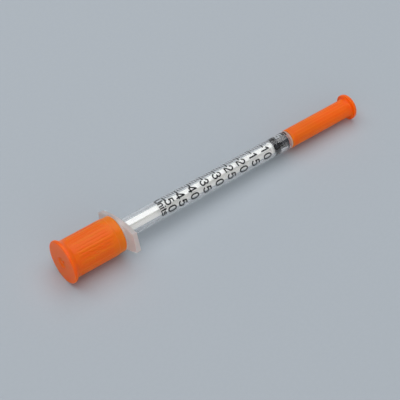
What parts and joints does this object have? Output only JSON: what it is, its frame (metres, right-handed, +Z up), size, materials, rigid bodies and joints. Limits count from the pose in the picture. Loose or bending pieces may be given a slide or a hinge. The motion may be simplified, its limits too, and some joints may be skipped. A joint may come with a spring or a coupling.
{
  "type": "insulin syringe",
  "caption": "Capped half millilitre insulin syringe with fixed needle, clear graduated barrel, finger flange, black stopper and orange end caps, lying on its side.",
  "frame": {"origin": "on the table, under the middle of the lying syringe", "axes": "+X along the syringe towards the needle shield, +Z up, +Y across"},
  "size_m": [0.1038, 0.0188, 0.013],
  "materials": {
    "clear_barrel": "clear moulded polypropylene, polished",
    "cannula_steel": "drawn stainless steel tube, siliconised",
    "cured_adhesive": "cured clear adhesive",
    "black_rubber": "black moulded elastomer, siliconised, satin",
    "white_rod": "white moulded polypropylene",
    "orange_shield": "orange moulded polyethylene, satin, fine flutes",
    "orange_cap": "orange moulded polyethylene, satin, fine flutes"
  },
  "bodies": {
    "barrel": {"barrel": "clear_barrel", "needle_cannula": "cannula_steel", "needle_adhesive": "cured_adhesive"},
    "stopper": {"stopper": "black_rubber"},
    "plunger_rod": {"plunger_rod": "white_rod"},
    "needle_shield": {"needle_shield": "orange_shield"},
    "plunger_cap": {"plunger_cap": "orange_cap"}
  },
  "joints": [
    {"name": "plunger_slide", "type": "slide", "parent": "barrel", "child": "stopper", "axis": [-0.9997, 0, 0.025], "range_m": [0, 0.0531]},
    {"name": "rod_swivel", "type": "hinge", "parent": "stopper", "child": "plunger_rod", "pos_m": [0.02266, 0, 0.00465], "axis": [0.9997, 0, -0.025], "continuous": true},
    {"name": "cap_pull", "type": "slide", "parent": "stopper", "child": "plunger_cap", "axis": [-0.9997, 0, 0.025], "range_m": [0, 0.018]},
    {"name": "shield_pull", "type": "slide", "parent": "barrel", "child": "needle_shield", "axis": [0.9997, 0, -0.025], "range_m": [0, 0.024]}
  ]
}
